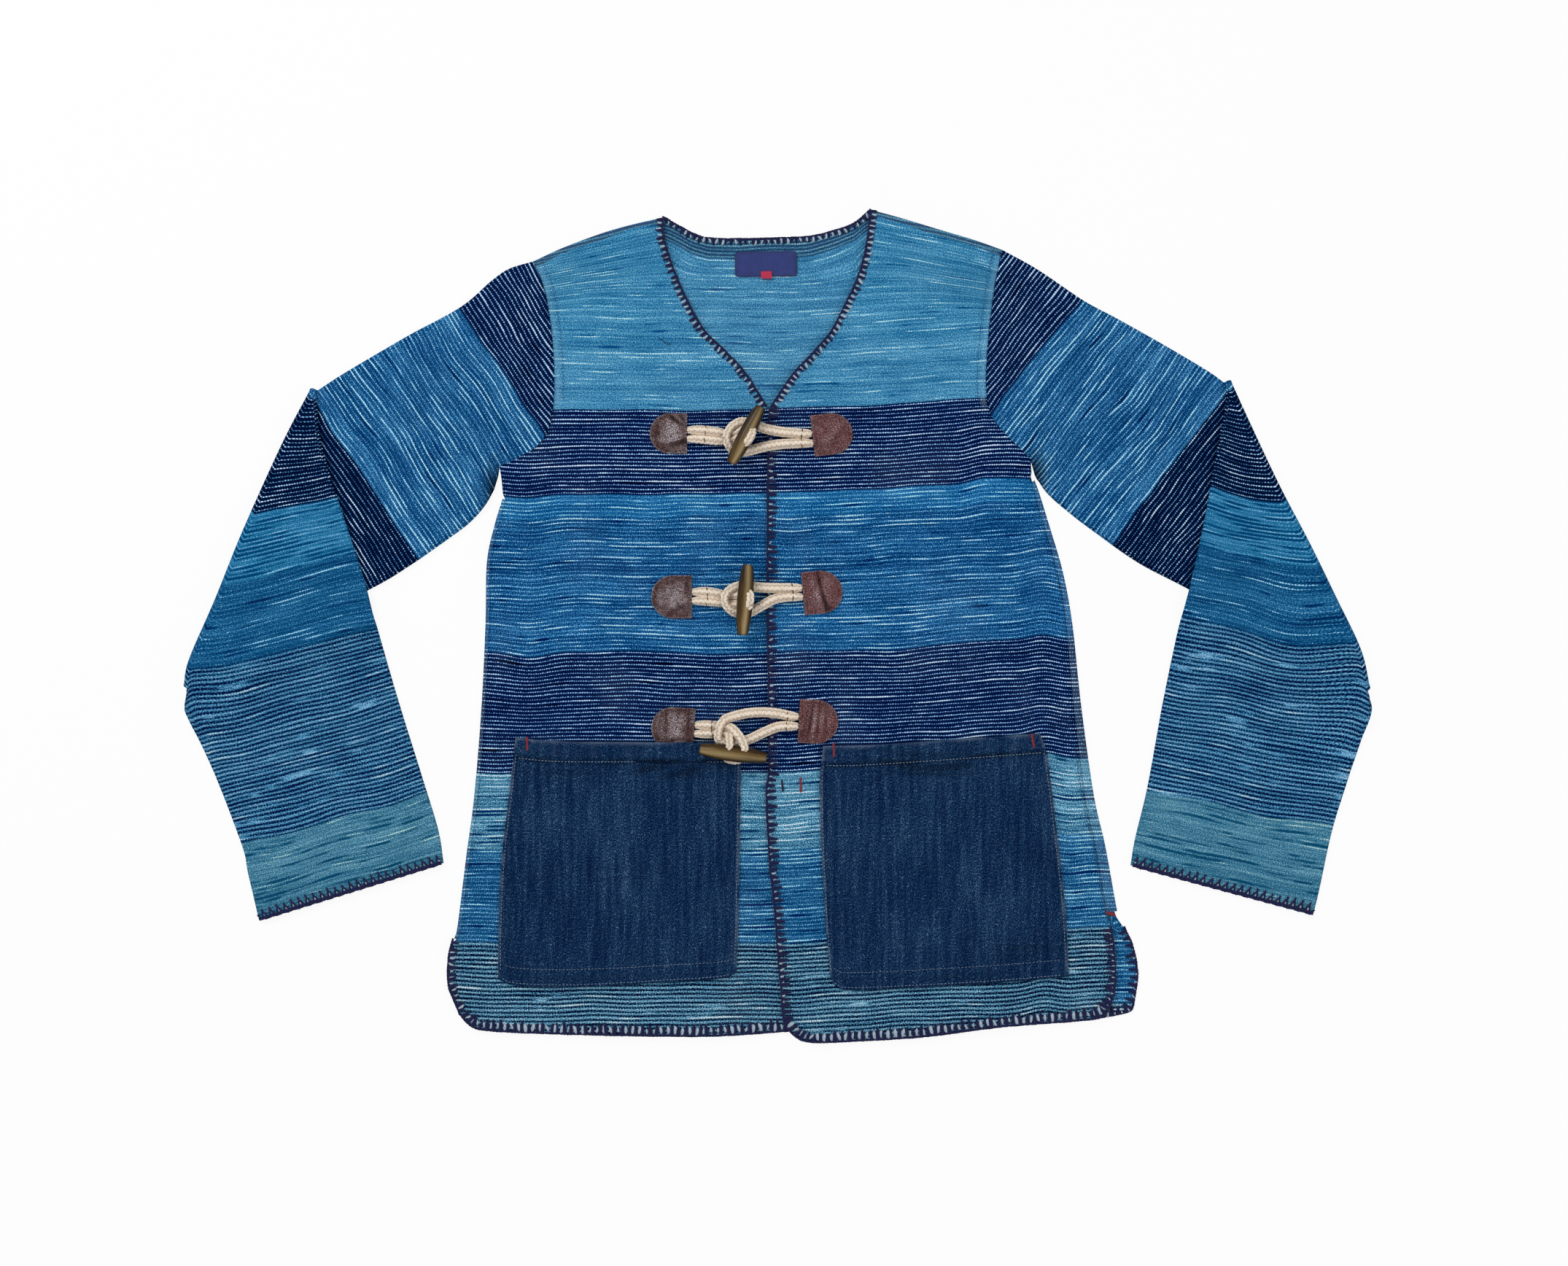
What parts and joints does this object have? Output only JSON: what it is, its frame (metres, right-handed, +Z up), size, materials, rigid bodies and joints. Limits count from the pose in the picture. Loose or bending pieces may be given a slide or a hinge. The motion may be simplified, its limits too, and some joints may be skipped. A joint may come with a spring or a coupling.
{
  "type": "patched work jacket",
  "caption": "Indigo striped patchwork jacket laid flat, sleeves folded over, with blanket-stitched edges, denim patch pockets and rope-and-toggle fastenings.",
  "frame": {"origin": "bottom centre of the bounding box, on the surface the jacket lies on, under the middle of its chest", "axes": "+X across the chest towards the wearer's left, +Y from the hem up to the neck, +Z up off the surface"},
  "size_m": [0.9367, 0.6574, 0.0268],
  "materials": {
    "indigo_cloth": "indigo cotton in bands of pale, mid and dark blue with fine dashed stripes",
    "denim": "dark plain denim",
    "label_cloth": "woven tape",
    "red_cloth": "woven tape",
    "rope": "braided cream cord",
    "leather": "dark brown grained leather, matt",
    "wood": "turned and polished"
  },
  "bodies": {
    "root": {"back_panel": "indigo_cloth", "front_left": "indigo_cloth", "front_right": "indigo_cloth", "sleeve_left": "indigo_cloth", "sleeve_right": "indigo_cloth", "pocket_left": "denim", "pocket_right": "denim", "neck_label": "label_cloth", "label_tab": "red_cloth", "toggle_patch_1": "leather", "loop_patch_1": "leather", "toggle_1": "wood", "toggle_cord_1": "rope", "loop_cord_1": "rope", "toggle_patch_2": "leather", "loop_patch_2": "leather", "toggle_2": "wood", "toggle_cord_2": "rope", "loop_cord_2": "rope", "toggle_patch_3": "leather", "loop_patch_3": "leather", "toggle_3": "wood", "toggle_cord_3": "rope", "loop_cord_3": "rope"}
  },
  "joints": []
}
